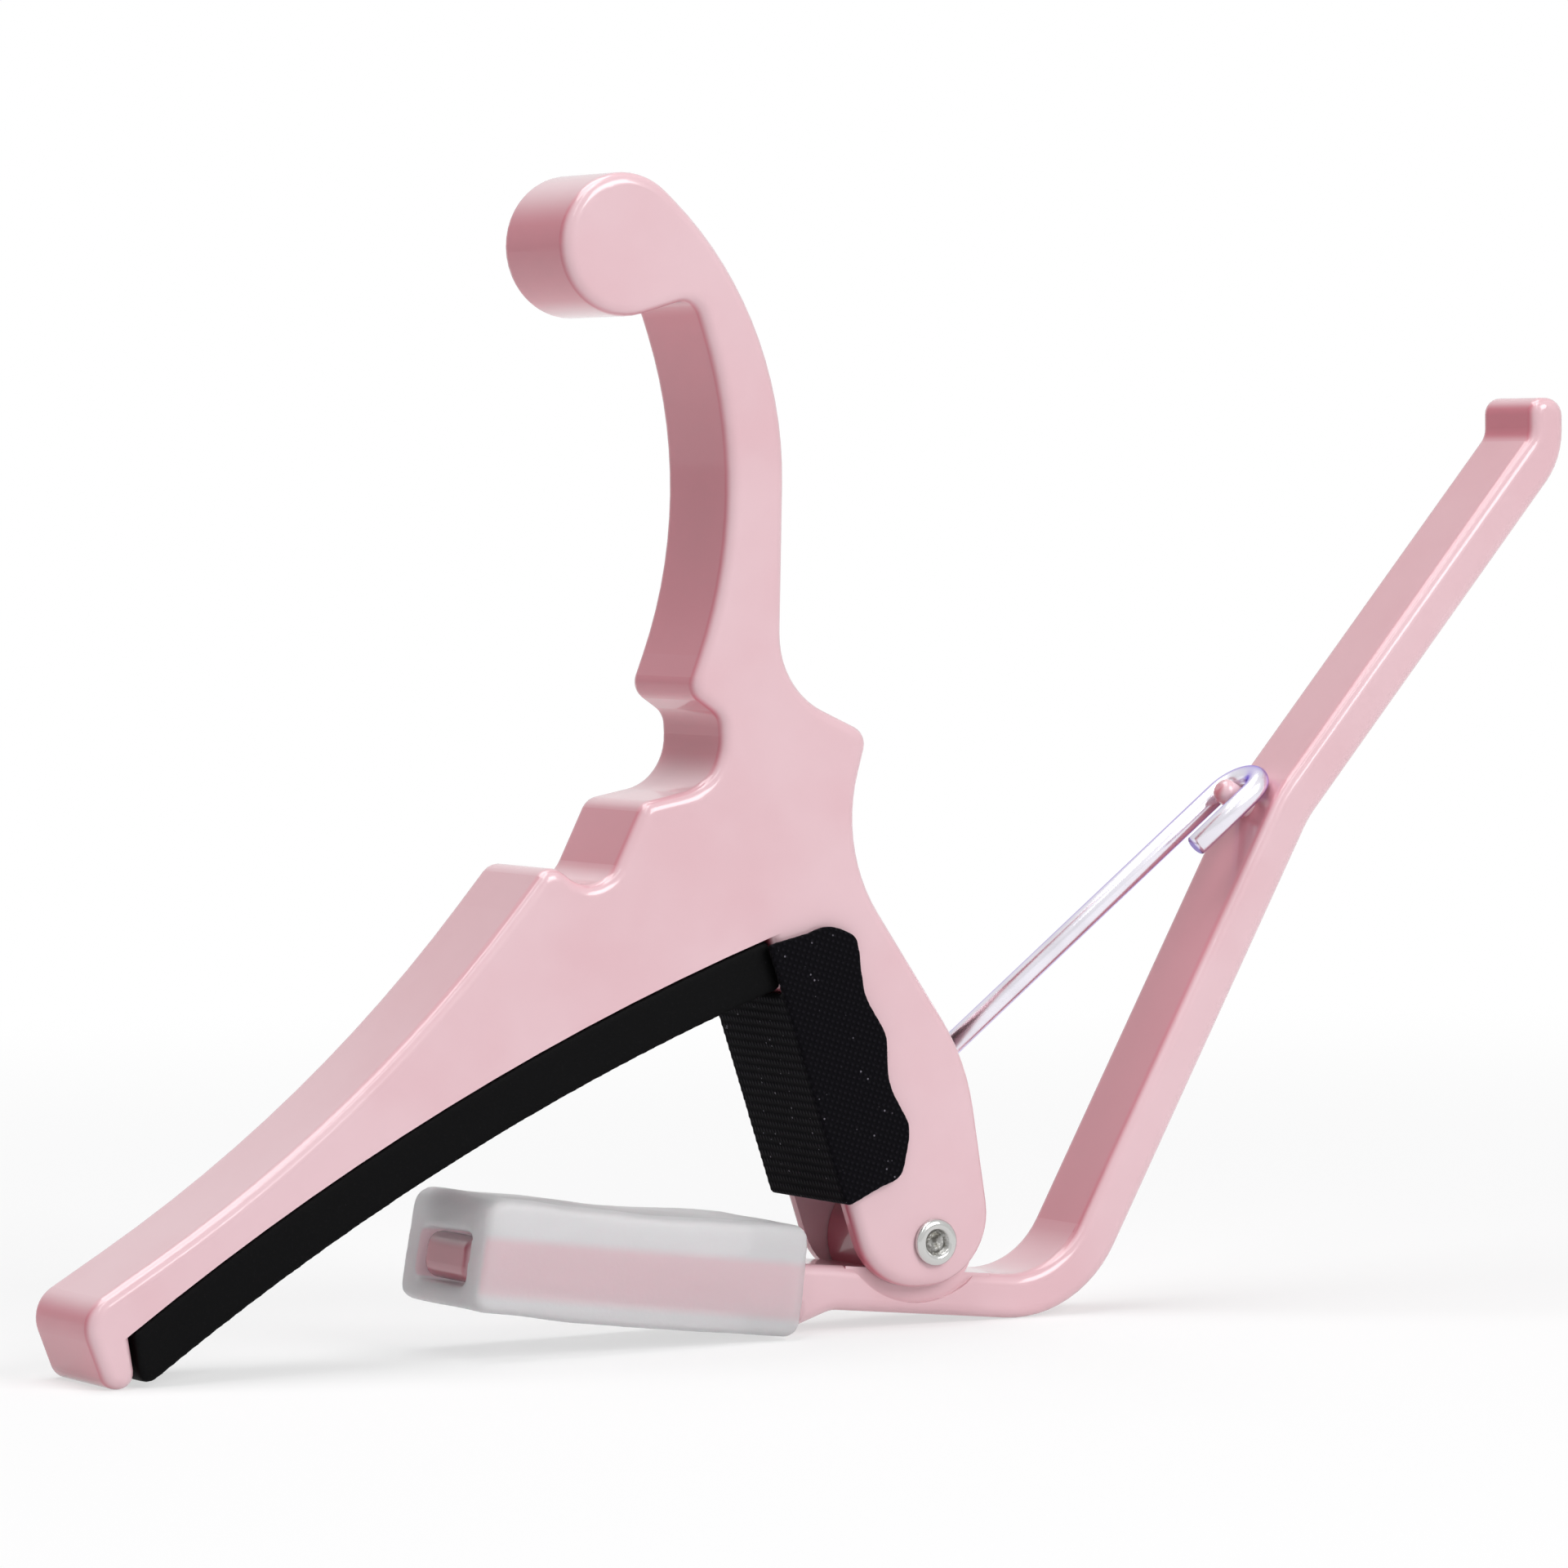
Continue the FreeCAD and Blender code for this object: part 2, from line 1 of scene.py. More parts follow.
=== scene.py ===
"""Looks of a spring capo: gloss painted castings, steel fittings and soft rubber, silicone and cloth."""
import logging
import math
from dataclasses import dataclass, field
from enum import Enum

import bmesh
import bpy
from mathutils import Matrix, Vector, noise


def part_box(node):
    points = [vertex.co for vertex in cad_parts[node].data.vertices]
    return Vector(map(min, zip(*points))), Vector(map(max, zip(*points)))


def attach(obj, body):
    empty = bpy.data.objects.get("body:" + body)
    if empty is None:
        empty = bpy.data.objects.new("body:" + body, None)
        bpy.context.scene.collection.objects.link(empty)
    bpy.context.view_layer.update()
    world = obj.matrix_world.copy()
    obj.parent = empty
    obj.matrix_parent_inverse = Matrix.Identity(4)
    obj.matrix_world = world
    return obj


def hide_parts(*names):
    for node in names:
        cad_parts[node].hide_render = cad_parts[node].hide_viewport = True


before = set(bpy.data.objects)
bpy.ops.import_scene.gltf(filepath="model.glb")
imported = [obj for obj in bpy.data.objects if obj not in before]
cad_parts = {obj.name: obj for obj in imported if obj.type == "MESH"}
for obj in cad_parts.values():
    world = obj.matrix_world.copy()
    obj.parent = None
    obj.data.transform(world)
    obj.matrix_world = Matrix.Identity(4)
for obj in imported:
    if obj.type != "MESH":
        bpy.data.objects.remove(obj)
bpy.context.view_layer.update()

log = logging.getLogger("capo")

MM = 0.001
MERGE = 0.002 * MM
WHITE = (1.0, 1.0, 1.0)
MIX_LOW, MIX_HIGH, MIX_RESULT = 6, 7, 2
Colour = tuple[float, float, float]


def linear(red: int, green: int, blue: int) -> Colour:
    """Turn a screen colour of 0 to 255 into the linear colour that a shader takes.

    Args:
        red: Red of the screen colour.
        green: Green of the screen colour.
        blue: Blue of the screen colour.

    Returns:
        The linear red, green and blue.
    """
    channels = []
    for value in (red, green, blue):
        share = value / 255
        channels.append(share / 12.92 if share <= 0.04045 else ((share + 0.055) / 1.055) ** 2.4)
    return (channels[0], channels[1], channels[2])


# ---------------------------------------------------------------- shader tools

class Socket:
    """A node's output that takes part in plain arithmetic, one Math node for each step."""

    def __init__(self, tree: "Tree", output: bpy.types.NodeSocket) -> None:
        """Wrap an output of a tree's node."""
        self.tree = tree
        self.output = output

    def math(self, operation: str, *others: "Socket | float", first: bool = True) -> "Socket":
        """Add a Math node.

        Args:
            operation: The Math node's operation.
            others: The other inputs, as sockets or numbers.
            first: Whether this socket is the first input, and not the second.

        Returns:
            The node's value.
        """
        values = [self, *others] if first else [*others, self]
        inputs = dict(enumerate(values))
        return self.tree.out("ShaderNodeMath", {"operation": operation}, inputs)

    def __add__(self, other: "Socket | float") -> "Socket":
        """Add a value."""
        return self.math("ADD", other)

    __radd__ = __add__

    def __sub__(self, other: "Socket | float") -> "Socket":
        """Take a value away."""
        return self.math("SUBTRACT", other)

    def __rsub__(self, other: float) -> "Socket":
        """Take this away from a number."""
        return self.math("SUBTRACT", other, first=False)

    def __mul__(self, other: "Socket | float") -> "Socket":
        """Multiply by a value."""
        return self.math("MULTIPLY", other)

    __rmul__ = __mul__

    def wave(self, length: float) -> "Socket":
        """A sine from 0 to 1 that repeats after a length in metres."""
        return (self * (math.tau / length)).math("SINE") * 0.5 + 0.5

    def ramp(self, low: float, high: float) -> "Socket":
        """A smooth step from 0 at low to 1 at high."""
        inputs = {"Value": self, "From Min": low, "From Max": high}
        return self.tree.out("ShaderNodeMapRange", {"interpolation_type": "SMOOTHSTEP"}, inputs, "Result")


class Tree:
    """The node tree of one material or of the world."""

    def __init__(self, owner: bpy.types.Material | bpy.types.World) -> None:
        """Empty the tree of a material or world."""
        owner.use_nodes = True
        self.owner = owner
        self.nodes = owner.node_tree.nodes
        self.links = owner.node_tree.links
        self.nodes.clear()

    def add(self, kind: str, settings: dict | None = None, inputs: dict | None = None) -> bpy.types.Node:
        """Add a node.

        Args:
            kind: The node's type.
            settings: The node's own properties, set first.
            inputs: Values or sockets, by the input's name or number.

        Returns:
            The new node.
        """
        node = self.nodes.new(kind)
        for key, value in (settings or {}).items():
            setattr(node, key, value)
        for key, value in (inputs or {}).items():
            target = node.inputs[key]
            if isinstance(value, Socket):
                self.links.new(value.output, target)
            elif isinstance(value, tuple) and len(value) == 3 and target.type == "RGBA":
                target.default_value = (*value, 1.0)
            else:
                target.default_value = value
        return node

    def out(self, kind: str, settings: dict | None = None, inputs: dict | None = None,
            output: str | int = 0) -> Socket:
        """Add a node and take one of its outputs.

        Args:
            kind: The node's type.
            settings: The node's own properties.
            inputs: Values or sockets, by the input's name or number.
            output: The output's name or number.

        Returns:
            The output.
        """
        return Socket(self, self.add(kind, settings, inputs).outputs[output])

    def place(self, turn: float = 0.0, scale: Colour = (1.0, 1.0, 1.0)) -> Socket:
        """Object coordinates, turned about Y by an angle in degrees and then stretched."""
        where = self.out("ShaderNodeTexCoord", output="Object")
        turned = self.out("ShaderNodeMapping", {"vector_type": "POINT"},
                          {"Vector": where, "Rotation": (0.0, math.radians(turn), 0.0)})
        return self.out("ShaderNodeVectorMath", {"operation": "MULTIPLY"}, {0: turned, 1: scale}, "Vector")

    def axis(self, vector: Socket, name: str) -> Socket:
        """One coordinate of a vector."""
        return self.out("ShaderNodeSeparateXYZ", None, {"Vector": vector}, name)

    def lean(self, name: str) -> Socket:
        """How far the surface faces along one of the piece's own axes, from -1 to 1."""
        return self.axis(self.out("ShaderNodeTexCoord", output="Normal"), name)

    def facing(self, name: str) -> Socket:
        """How far the surface faces either way along one of the piece's own axes, from 0 to 1."""
        return self.lean(name).math("ABSOLUTE")

    def noise(self, vector: Socket, scale: float, detail: float = 2.0, rough: float = 0.5) -> Socket:
        """A noise from 0 to 1, with its scale in cells for each metre."""
        inputs = {"Vector": vector, "Scale": scale, "Detail": detail, "Roughness": rough}
        return self.out("ShaderNodeTexNoise", None, inputs, "Fac")

    def specks(self, vector: Socket, scale: float, low: float, high: float) -> Socket:
        """Small round specks, 1 in their middle and 0 outside."""
        inputs = {"Vector": vector, "Scale": scale}
        gap = self.out("ShaderNodeTexVoronoi", {"feature": "F1"}, inputs, "Distance")
        return 1.0 - gap.ramp(low, high)

    def mix(self, share: Socket | float, low: "Colour | Socket", high: "Colour | Socket") -> Socket:
        """A blend of two colours, low at share 0 and high at share 1."""
        settings = {"data_type": "RGBA", "blend_type": "MIX"}
        inputs = {"Factor": share, MIX_LOW: low, MIX_HIGH: high}
        return self.out("ShaderNodeMix", settings, inputs, MIX_RESULT)

    def bump(self, height: Socket, distance: float) -> Socket:
        """A normal from a height of 0 to 1 that stands for a distance in metres."""
        inputs = {"Height": height, "Distance": distance, "Strength": 1.0}
        return self.out("ShaderNodeBump", None, inputs, "Normal")

    def finish(self, shader: Socket,
               output: str = "ShaderNodeOutputMaterial") -> bpy.types.Material | bpy.types.World:
        """Join a shader to the tree's output and return the material or world."""
        self.add(output, None, {"Surface": shader})
        return self.owner


# ---------------------------------------------------------------- finishes

@dataclass(frozen=True)
class GlossPaint:
    """Pink paint under a clear gloss coat, written in two depths as painted light and shade: light on broad
    faces and up-facing walls, darker on the other upright cast walls.
    """

    name: str = "pink_gloss_paint"
    cheek: Colour = linear(232, 195, 202)
    # shaded_wall is painted shade: the same paint written darker for walls that face sideways.
    shaded_wall: Colour = linear(204, 106, 123)
    coat: float = 0.9
    peel: float = 0.000006

    def material(self) -> bpy.types.Material:
        """Build the material.

        Returns:
            The paint, with a faint orange peel in its coat.
        """
        tree = Tree(bpy.data.materials.new(self.name))
        where = tree.place()
        up = tree.lean("Z")
        # Painted light: walls that face up, and faces turned straight down, are moved back toward the light
        # colour.
        level = (up.ramp(0.25, 0.85) * 0.85).math("MAXIMUM", (0.0 - up).ramp(0.75, 1.0) * 0.7)
        # Painted shade: only broad faces along Y and the painted-light tops keep the light colour; the other
        # walls get the darker one.
        side = tree.facing("Y").ramp(0.12, 0.75).math("MAXIMUM", level)
        cloud = tree.noise(where, 90.0, 3.0)
        base = tree.mix(side, self.shaded_wall, self.cheek)
        deeper = tuple(channel * 0.94 for channel in self.shaded_wall)
        colour = tree.mix(cloud.ramp(0.35, 0.8) * 0.16, base, deeper)
        peel = tree.noise(where, 700.0, 2.0)
        shader = tree.out("ShaderNodeBsdfPrincipled", None, {
            "Base Color": colour,
            "Roughness": cloud * 0.08 + 0.30,
            "IOR": 1.5,
            "Coat Weight": self.coat,
            "Coat Roughness": 0.07,
            "Coat IOR": 1.5,
            "Normal": tree.bump(peel, self.peel),
        })
        return tree.finish(shader)


@dataclass(frozen=True)
class Metal:
    """Bare or plated metal with fine marks along one axis."""

    name: str
    colour: Colour
    rough: float
    spread: float = 0.08
    turn: float = 0.0
    grain: Colour = (120.0, 2500.0, 2500.0)
    depth: float = 0.000004
    edge: Colour = WHITE

    def material(self) -> bpy.types.Material:
        """Build the material.

        Returns:
            The metal.
        """
        tree = Tree(bpy.data.materials.new(self.name))
        lines = tree.noise(tree.place(self.turn, self.grain), 1.0, 3.0)
        cloud = tree.noise(tree.place(), 260.0, 3.0)
        dull_and_shade = tuple(channel * 0.82 for channel in self.colour)
        shader = tree.out("ShaderNodeBsdfPrincipled", None, {
            "Base Color": tree.mix(cloud.ramp(0.4, 0.75) * 0.5, self.colour, dull_and_shade),
            "Metallic": 1.0,
            "Specular Tint": self.edge,
            "Roughness": lines * self.spread + cloud * self.spread + (self.rough - self.spread),
            "Normal": tree.bump(lines, self.depth),
        })
        return tree.finish(shader)


@dataclass(frozen=True)
class HollowNickel:
    """Bright nickel plate, pitted and rougher in the rivet's hollow, with painted shade darkening the hollow's
    colour.
    """

    name: str = "bright_nickel"
    colour: Colour = linear(206, 206, 204)
    # dull_and_shade is the painted shade colour of the hollow.
    dull_and_shade: Colour = linear(96, 94, 88)
    rim: float = 1.04 * MM

    def material(self, centre: Vector) -> bpy.types.Material:
        """Build the material.

        Args:
            centre: A point on the rivet's axis.

        Returns:
            The nickel.
        """
        tree = Tree(bpy.data.materials.new(self.name))
        where = tree.place()
        aside = tree.axis(where, "X") - centre.x
        above = tree.axis(where, "Z") - centre.z
        radius = (aside * aside + above * above).math("SQRT")
        hollow = 1.0 - radius.ramp(self.rim * 0.82, self.rim)
        pits = tree.noise(where, 1900.0, 4.0, 0.7)
        # Painted shade: the hollow's colour is darkened toward dull_and_shade, broken up by the pits.
        painted_hollow_shade = hollow * (pits.ramp(0.35, 0.62) * 0.6 + 0.4)
        shader = tree.out("ShaderNodeBsdfPrincipled", None, {
            "Base Color": tree.mix(painted_hollow_shade, self.colour, self.dull_and_shade),
            "Metallic": 1.0,
            "Roughness": hollow * 0.2 + pits * 0.08 + 0.12,
            "Normal": tree.bump(pits * hollow, 0.00012),
        })
        return tree.finish(shader)


@dataclass(frozen=True)
class Rubber:
    """Matte black moulded rubber with a fine grain and a little dust."""

    name: str = "black_rubber"
    colour: Colour = linear(9, 9, 10)
    dusty: Colour = linear(34, 33, 36)

    def material(self) -> bpy.types.Material:
        """Build the material.

        Returns:
            The rubber.
        """
        tree = Tree(bpy.data.materials.new(self.name))
        where = tree.place()
        grain = tree.noise(where, 4200.0, 4.0, 0.6)
        cloud = tree.noise(where, 140.0, 3.0)
        dust = tree.specks(where, 1100.0, 0.03, 0.09) * cloud.ramp(0.45, 0.7)
        shader = tree.out("ShaderNodeBsdfPrincipled", None, {
            "Base Color": tree.mix(dust * 0.6 + grain.ramp(0.5, 0.8) * 0.2, self.colour, self.dusty),
            "Roughness": grain * 0.16 + cloud * 0.08 + 0.44,
            "Specular IOR Level": 0.06,
            "Normal": tree.bump(grain, 0.00003),
        })
        return tree.finish(shader)


@dataclass(frozen=True)
class Silicone:
    """Frosted silicone, with a soft pink band of painted light in its colour that stands for the pink arm
    inside showing through.
    """

    name: str = "frosted_silicone"
    colour: Colour = linear(240, 239, 241)
    # arm is the painted see-through colour of the arm inside the sleeve.
    arm: Colour = linear(246, 214, 220)
    inside: tuple[float, float] = (-19.4 * MM, 5.1 * MM)
    slope: float = -0.1358
    clear: float = 0.36
    depth: float = 0.00002

    def material(self) -> bpy.types.Material:
        """Build the material.

        Returns:
            The silicone.
        """
        tree = Tree(bpy.data.materials.new(self.name))
        where = tree.place()
        frost = tree.noise(where, 2600.0, 3.0, 0.6)
        flow = tree.noise(tree.place(7.0, (60.0, 260.0, 260.0)), 1.0, 3.0)
        milky = tuple(channel * 0.93 for channel in self.colour)
        aside = (tree.axis(where, "X") - self.inside[0]) * self.slope
        off = (tree.axis(where, "Z") - self.inside[1] - aside).math("ABSOLUTE")
        # Painted light: a pink band along the arm's line on the faces along Y, standing in for the arm seen
        # through the silicone.
        painted_arm_band = (1.0 - off.ramp(1.6 * MM, 2.5 * MM)) * tree.facing("Y").ramp(0.4, 0.8)
        frosted = tree.mix(flow.ramp(0.3, 0.7) * 0.6, self.colour, milky)
        shader = tree.out("ShaderNodeBsdfPrincipled", None, {
            "Base Color": tree.mix(painted_arm_band * 0.8, frosted, self.arm),
            "Subsurface Weight": 0.6,
            "Subsurface Radius": (4.0 * MM, 3.4 * MM, 3.6 * MM),
            "Subsurface Scale": 1.0,
            "Roughness": frost * 0.08 + flow * 0.06 + 0.30,
            "IOR": 1.33,
            "Transmission Weight": self.clear,
            "Normal": tree.bump(frost * 0.5 + flow * 0.5, self.depth),
        })
        return tree.finish(shader)


@dataclass(frozen=True)
class WovenCloth:
    """Black woven cloth: ribs across its folded front, a fine square weave on the flaps, and painted glints.
    """

    name: str = "black_woven_cloth"
    yarn: Colour = linear(9, 8, 12)
    worn: Colour = linear(34, 32, 39)
    # glint_highlight is the colour of the painted glints.
    glint_highlight: Colour = linear(128, 124, 134)
    lean: float = -18.0
    rib: float = 0.5 * MM
    thread: float = 0.42 * MM

    def material(self) -> bpy.types.Material:
        """Build the material.

        Returns:
            The cloth.
        """
        tree = Tree(bpy.data.materials.new(self.name))
        where = tree.place(self.lean)
        down = tree.axis(where, "Z")
        along = tree.axis(where, "X")
        across = tree.axis(where, "Y")
        flap = tree.facing("Y").ramp(0.45, 0.8)
        fuzz = tree.noise(where, 5200.0, 4.0, 0.65)
        ribs = down.wave(self.rib) * (across.wave(self.thread) * 0.45 + 0.55)
        weave = down.wave(self.thread) * along.wave(self.thread)
        height = (ribs * (1.0 - flap) + weave * flap) * 0.75 + fuzz * 0.25
        # Painted highlight: sparse bright specks written into the colour as glints, with lower roughness
        # there.
        painted_glints = tree.specks(where, 1500.0, 0.07, 0.14) * tree.noise(where, 900.0).ramp(0.52, 0.6)
        threads = tree.mix(height.ramp(0.35, 0.95) * 0.5, self.yarn, self.worn)
        shader = tree.out("ShaderNodeBsdfPrincipled", None, {
            "Base Color": tree.mix(painted_glints * 0.8, threads, self.glint_highlight),
            "Roughness": 0.86 - painted_glints * 0.45,
            "Sheen Weight": 0.03,
            "Sheen Roughness": 0.4,
            "Specular IOR Level": 0.06,
            "Normal": tree.bump(height, 0.00014),
        })
        return tree.finish(shader)


@dataclass(frozen=True)
class PaleFloor:
    """White floor that keeps the shadow near the capo and runs out into the white backdrop."""

    name: str = "white_floor"
    colour: Colour = (0.92, 0.92, 0.925)
    near: float = 0.07
    far: float = 0.32
    lift: float = 0.62

    def material(self) -> bpy.types.Material:
        """Build the material.

        Returns:
            The floor's finish.
        """
        tree = Tree(bpy.data.materials.new(self.name))
        where = tree.place()
        reach = tree.out("ShaderNodeVectorMath", {"operation": "LENGTH"}, {0: where}, "Value")
        rays = tree.add("ShaderNodeLightPath")
        seen = Socket(tree, rays.outputs["Is Camera Ray"])
        seen = seen.math("MAXIMUM", Socket(tree, rays.outputs["Is Glossy Ray"]))
        seen = seen.math("MAXIMUM", Socket(tree, rays.outputs["Is Transmission Ray"]))
        share = (reach.ramp(self.near, self.far) * (1.0 - self.lift) + self.lift) * seen
        cloud = tree.noise(where, 12.0, 3.0)
        colour = tree.mix(cloud * 0.3, self.colour, tuple(c * 0.985 for c in self.colour))
        matte = tree.out("ShaderNodeBsdfDiffuse", None, {"Color": colour})
        white = tree.out("ShaderNodeEmission", None, {"Color": WHITE, "Strength": 1.0})
        return tree.finish(tree.out("ShaderNodeMixShader", None, {0: share, 1: matte, 2: white}))


# ---------------------------------------------------------------- mesh tools

def dress(thing: bpy.types.Object, material: bpy.types.Material) -> None:
    """Give a whole piece one material.

    Args:
        thing: The piece.
        material: Its finish.
    """
    thing.data.materials.clear()
    thing.data.materials.append(material)


def put(name: str, data: bpy.types.ID) -> bpy.types.Object:
    """Add an object to the scene.

    Args:
        name: The object's name.
        data: Its mesh, lamp or camera.

    Returns:
        The new object.
    """
    thing = bpy.data.objects.new(name, data)
    bpy.context.scene.collection.objects.link(thing)
    return thing


def merged_copy(node: str, name: str) -> bpy.types.Object:
    """Copy a CAD node as one closed shell.

    Args:
        node: The CAD node.
        name: The new piece's name.

    Returns:
        The new piece.
    """
    shell = bmesh.new()
    shell.from_mesh(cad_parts[node].data)
    bmesh.ops.remove_doubles(shell, verts=shell.verts, dist=MERGE)
    bmesh.ops.recalc_face_normals(shell, faces=shell.faces)
    mesh = bpy.data.meshes.new(name)
    shell.to_mesh(mesh)
    shell.free()
    return put(name, mesh)


def softened(node: str, name: str, voxel: float, rounds: int) -> bpy.types.Object:
    """Turn a soft CAD solid into an even, rounded skin.

    Args:
        node: The CAD node that holds the soft piece's room.
        name: The new piece's name.
        voxel: Size of the skin's faces, in metres.
        rounds: How many times the skin is smoothed, which rounds its edges.

    Returns:
        The new piece.
    """
    piece = merged_copy(node, name)
    remesh = piece.modifiers.new("Skin", "REMESH")
    remesh.mode = "VOXEL"
    remesh.voxel_size = voxel
    evaluated = piece.evaluated_get(bpy.context.evaluated_depsgraph_get())
    skin = bpy.data.meshes.new_from_object(evaluated)
    piece.modifiers.clear()
    shell = bmesh.new()
    shell.from_mesh(skin)
    for _ in range(rounds):
        bmesh.ops.smooth_vert(shell, verts=shell.verts, factor=0.5, use_axis_x=True, use_axis_y=True,
                              use_axis_z=True)
    old = piece.data
    piece.data = skin
    bpy.data.meshes.remove(old)
    shell.to_mesh(skin)
    shell.free()
    skin.name = name
    skin.shade_smooth()
    return piece


# ---------------------------------------------------------------- sub-assemblies

class Side(Enum):
    """The two painted castings, by the CAD body that each belongs to."""

    STRING_BAR = "upper_arm"
    HANDLE = "lower_arm"


@dataclass
class Castings:
    """The two painted arms."""

    paint: GlossPaint = field(default_factory=GlossPaint)

    def build(self) -> list[bpy.types.Object]:
        """Paint both arms and return them."""
        coat = self.paint.material()
        arms = [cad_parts[side.value] for side in Side]
        for arm in arms:
            dress(arm, coat)
        return arms


@dataclass
class Steelwork:
    """The cross pin and the two lengths of spring wire."""

    turned: Metal = Metal("turned_steel", linear(176, 176, 180), 0.34, grain=(2500.0, 90.0, 2500.0))
    drawn: Metal = Metal("drawn_wire", linear(244, 241, 250), 0.24, 0.03, turn=37.3, depth=0.000001,
                         edge=(0.42, 0.30, 0.86))
    corner: float = math.radians(50.0)

    def wire(self, node: str, name: str, rides: str, steel: bpy.types.Material) -> bpy.types.Object:
        """Draw one length of spring wire with a smooth skin.

        Args:
            node: The CAD node it stands for.
            name: The new piece's name.
            rides: The CAD node it moves with.
            steel: The wire's finish.

        Returns:
            The wire.
        """
        piece = merged_copy(node, name)
        piece.data.shade_smooth()
        piece.data.set_sharp_from_angle(angle=self.corner)
        dress(piece, steel)
        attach(piece, rides)
        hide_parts(node)
        return piece

    def build(self) -> list[bpy.types.Object]:
        """Dress the cross pin, draw the spring and return all three."""
        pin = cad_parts["spring_pin"]
        dress(pin, self.turned.material())
        steel = self.drawn.material()
        coil = self.wire("spring_coil", "wound_wire", "upper_arm", steel)
        leg = self.wire("spring_leg", "hooked_wire", "spring_leg", steel)
        return [pin, coil, leg]


@dataclass
class Rivet:
    """The tubular pivot rivet: a shank with a rolled head and a hollow at each end, in millimetres."""

    shank: float = 1.25
    head: float = 1.7
    lip: float = 4.77
    steps: int = 72
    nickel: HollowNickel = field(default_factory=HollowNickel)

    def profile(self, top: float) -> list[tuple[float, float]]:
        """Half of the rivet's outline from its axis to the shank, as radius and height."""
        return [
            (0.0, top - 0.40), (0.30, top - 0.40), (0.40, top - 0.30), (0.52, top - 0.27), (0.64, top - 0.31),
            (0.72, top - 0.38), (0.84, top - 0.37), (0.92, top - 0.26), (0.98, top - 0.12), (1.06, top - 0.03),
            (1.18, top), (1.34, top - 0.01), (1.50, top - 0.06), (1.62, top - 0.15), (1.68, top - 0.27),
            (self.head, top - 0.40), (1.66, self.lip + 0.02), (1.60, self.lip), (self.shank, self.lip),
        ]

    def build(self) -> list[bpy.types.Object]:
        """Spin the rivet about its axis.

        Returns:
            The rivet, alone in a list.
        """
        low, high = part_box("pivot_rivet")
        centre = (low + high) / 2
        half = self.profile((high.y - low.y) / 2 / MM)
        outline = half + [(radius, -height) for radius, height in reversed(half)]
        shell = bmesh.new()
        points = [shell.verts.new(centre + Vector((radius, height, 0.0)) * MM) for radius, height in outline]
        edges = [shell.edges.new(pair) for pair in zip(points, points[1:])]
        bmesh.ops.spin(shell, geom=points + edges, cent=centre, axis=(0.0, 1.0, 0.0), dvec=(0.0, 0.0, 0.0),
                       angle=math.tau, steps=self.steps, use_merge=True, use_duplicate=False)
        bmesh.ops.remove_doubles(shell, verts=shell.verts, dist=0.001 * MM)
        bmesh.ops.recalc_face_normals(shell, faces=shell.faces)
        mesh = bpy.data.meshes.new("hollow_rivet")
        shell.to_mesh(mesh)
        shell.free()
        mesh.shade_smooth()
        rivet = put("hollow_rivet", mesh)
        dress(rivet, self.nickel.material(centre))
        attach(rivet, "upper_arm")
        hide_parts("pivot_rivet")
        return [rivet]


@dataclass
class StringPad:
    """The black rubber strip under the string bar."""

    voxel: float = 0.3 * MM
    rounds: int = 3
    rubber: Rubber = field(default_factory=Rubber)

    def build(self) -> list[bpy.types.Object]:
        """Build the pad with its rounded edges.

        Returns:
            The pad, alone in a list.
        """
        pad = softened("string_pad", "rubber_pad", self.voxel, self.rounds)
        dress(pad, self.rubber.material())
        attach(pad, "upper_arm")
        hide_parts("string_pad")
        return [pad]


@dataclass
class NeckSleeve:
    """The frosted silicone sleeve on the lower arm."""

    voxel: float = 0.3 * MM
    rounds: int = 3
    swell: float = 0.14 * MM
    shrink: float = 0.02 * MM
    lumps: float = 190.0
    silicone: Silicone = field(default_factory=Silicone)

    def build(self) -> list[bpy.types.Object]:
        """Build the sleeve, slightly uneven as soft moulded silicone is.

        Returns:
            The sleeve, alone in a list.
        """
        sleeve = softened("neck_sleeve", "silicone_sleeve", self.voxel, self.rounds)
        shell = bmesh.new()
        shell.from_mesh(sleeve.data)
        shell.normal_update()
        for vertex in shell.verts:
            lump = noise.noise(vertex.co * self.lumps)
            vertex.co += vertex.normal * (lump * self.swell - self.shrink)
        shell.to_mesh(sleeve.data)
        shell.free()
        sleeve.data.shade_smooth()
        dress(sleeve, self.silicone.material())
        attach(sleeve, "lower_arm")
        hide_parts("neck_sleeve")
        return [sleeve]


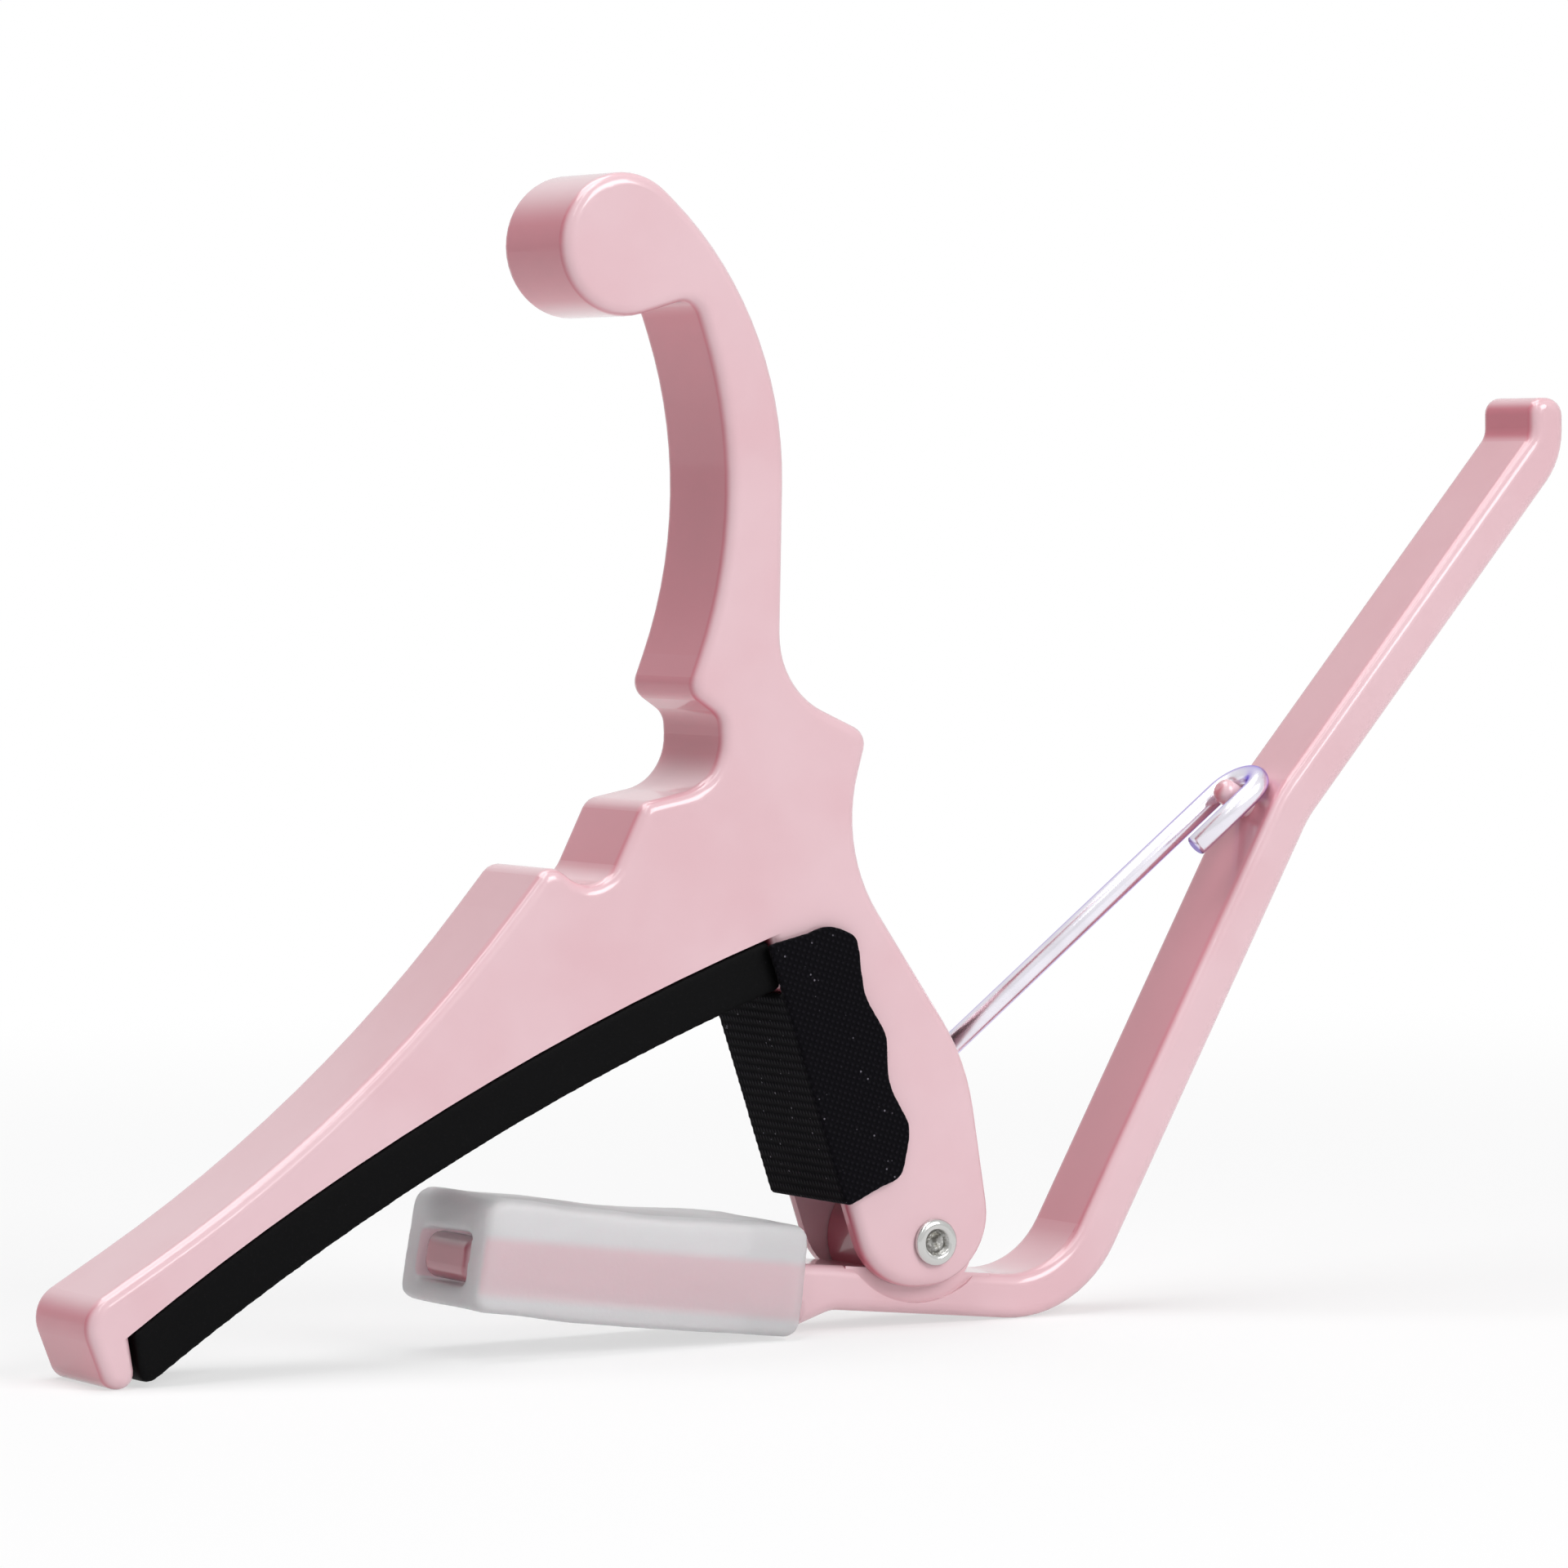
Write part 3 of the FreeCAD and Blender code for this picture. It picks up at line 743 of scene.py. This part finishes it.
@dataclass
class ForkWrap:
    """The strip of cloth folded round the front of the fork."""

    voxel: float = 0.2 * MM
    rounds: int = 2
    edge_rounds: int = 90
    lean: float = math.radians(18.0)
    fold_reach: float = 6.2 * MM
    margin: float = 0.3 * MM
    blend: float = 3.0 * MM
    thick: float = 0.75 * MM
    flat: tuple[float, float] = (27.4 * MM, 20.4 * MM)
    area: float = 0.00047
    cloth: WovenCloth = field(default_factory=WovenCloth)

    def round_flaps(self, wrap: bpy.types.Object) -> None:
        """Round the flaps' cut edges in their own plane, which leaves the cloth's thickness.

        Args:
            wrap: The wrap.
        """
        low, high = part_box("fork_wrap")
        fold = Vector((low.x + self.fold_reach, 0.0, low.z))
        down = Vector((math.sin(self.lean), 0.0, -math.cos(self.lean)))
        inward = Vector((-down.z, 0.0, down.x))
        shell = bmesh.new()
        shell.from_mesh(wrap.data)
        edge = [
            vertex for vertex in shell.verts
            if abs(vertex.co.y) > high.y - self.thick and (vertex.co - fold).dot(inward) > self.margin
        ]
        cut = [vertex.co.copy() for vertex in edge]
        for _ in range(self.edge_rounds):
            bmesh.ops.smooth_vert(shell, verts=edge, factor=0.5, use_axis_x=True, use_axis_y=False,
                                  use_axis_z=True)
        for vertex, before in zip(edge, cut):
            share = ((before - fold).dot(inward) - self.margin) / self.blend
            vertex.co = before.lerp(vertex.co, min(share, 1.0))
        shell.to_mesh(wrap.data)
        shell.free()
        wrap.data.shade_smooth()

    def build(self) -> list[bpy.types.Object]:
        """Build the wrap with soft edges.

        Returns:
            The wrap, alone in a list.
        """
        wrap = softened("fork_wrap", "cloth_wrap", self.voxel, self.rounds)
        self.round_flaps(wrap)
        dress(wrap, self.cloth.material())
        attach(wrap, "upper_arm")
        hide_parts("fork_wrap")
        return [wrap]


# ---------------------------------------------------------------- studio

@dataclass(frozen=True)
class Softbox:
    """A rectangular lamp that faces the capo, with its place and size in metres and its power in watts."""

    name: str
    place: Colour
    size: tuple[float, float]
    power: float


@dataclass
class Studio:
    """Floor, backdrop, lamps and camera."""

    eye: Vector = field(default_factory=lambda: Vector((-268.06, -456.54, 63.08)) * MM)
    ahead: Vector = field(default_factory=lambda: Vector((0.49919, 0.86533, -0.04494)))
    above: Vector = field(default_factory=lambda: Vector((0.02969, 0.03475, 0.99895)))
    lens: float = 168.75
    sensor: float = 36.0
    sight: tuple[float, float] = (0.05, 20.0)
    aim: Colour = (0.0, 0.0, 0.035)
    half_floor: float = 1.5
    sky: float = 0.10
    gleam: float = 0.82
    floor: PaleFloor = field(default_factory=PaleFloor)
    lamps: tuple[Softbox, ...] = (
        Softbox("key", (0.25, -0.75, 0.55), (0.5, 0.5), 5.0),
        Softbox("top", (-0.15, 0.1, 0.8), (0.7, 0.5), 4.4),
        Softbox("strip", (-0.30, -0.35, 0.70), (0.04, 0.7), 0.7),
    )

    def aimed(self, thing: bpy.types.Object, eye: Vector, ahead: Vector, above: Vector) -> None:
        """Place a camera or lamp.

        Args:
            thing: The object to place.
            eye: Where it stands.
            ahead: The way it looks.
            above: Roughly upwards for it.
        """
        back = -ahead.normalized()
        right = above.cross(back).normalized()
        up = back.cross(right)
        turn = Matrix((right, up, back)).transposed().to_4x4()
        thing.matrix_world = Matrix.Translation(eye) @ turn

    def camera(self) -> None:
        """Add the camera."""
        data = bpy.data.cameras.new("camera")
        data.lens = self.lens
        data.sensor_width = self.sensor
        data.clip_start, data.clip_end = self.sight
        camera = put("camera", data)
        self.aimed(camera, self.eye, self.ahead, self.above)
        bpy.context.scene.camera = camera

    def shine(self, box: Softbox) -> None:
        """Add one lamp.

        Args:
            box: The lamp's place, size and power.
        """
        data = bpy.data.lights.new(box.name, "AREA")
        data.shape = "RECTANGLE"
        data.size, data.size_y = box.size
        data.energy = box.power
        place = Vector(box.place)
        self.aimed(put(box.name, data), place, Vector(self.aim) - place, Vector((0.0, 0.0, 1.0)))

    def backdrop(self) -> None:
        """Light the world evenly and show it as white."""
        world = bpy.data.worlds.new("backdrop")
        bpy.context.scene.world = world
        tree = Tree(world)
        rays = tree.add("ShaderNodeLightPath")
        glossy = Socket(tree, rays.outputs["Is Glossy Ray"])
        seen = Socket(tree, rays.outputs["Is Camera Ray"])
        seen = seen.math("MAXIMUM", Socket(tree, rays.outputs["Is Transmission Ray"]))
        shown = self.even_light(tree, self.sky)
        for strength, share in ((self.gleam, glossy), (1.0, seen)):
            light = self.even_light(tree, strength)
            shown = tree.out("ShaderNodeMixShader", None, {0: share, 1: shown, 2: light})
        tree.finish(shown, "ShaderNodeOutputWorld")

    def even_light(self, tree: Tree, strength: float) -> Socket:
        """Add an even white background of one strength to the world's tree."""
        return tree.out("ShaderNodeBackground", None, {"Color": WHITE, "Strength": strength})

    def ground(self) -> None:
        """Add the floor."""
        sheet = bmesh.new()
        bmesh.ops.create_grid(sheet, x_segments=4, y_segments=4, size=self.half_floor)
        mesh = bpy.data.meshes.new("floor")
        sheet.to_mesh(mesh)
        sheet.free()
        floor = put("floor", mesh)
        dress(floor, self.floor.material())

    def build(self) -> None:
        """Build the whole studio."""
        bpy.context.scene.view_settings.view_transform = "Standard"
        self.camera()
        self.backdrop()
        self.ground()
        for box in self.lamps:
            self.shine(box)


def main() -> None:
    """Build the studio and every piece, and report each piece."""
    logging.basicConfig(level=logging.INFO, format="%(name)s %(message)s")
    Studio().build()
    log.info("studio: ready")
    for maker in (Castings(), Steelwork(), Rivet(), StringPad(), NeckSleeve(), ForkWrap()):
        for piece in maker.build():
            log.info("%s: %d faces", piece.name, len(piece.data.polygons))
    bpy.context.view_layer.update()


if __name__ == "__main__":
    main()
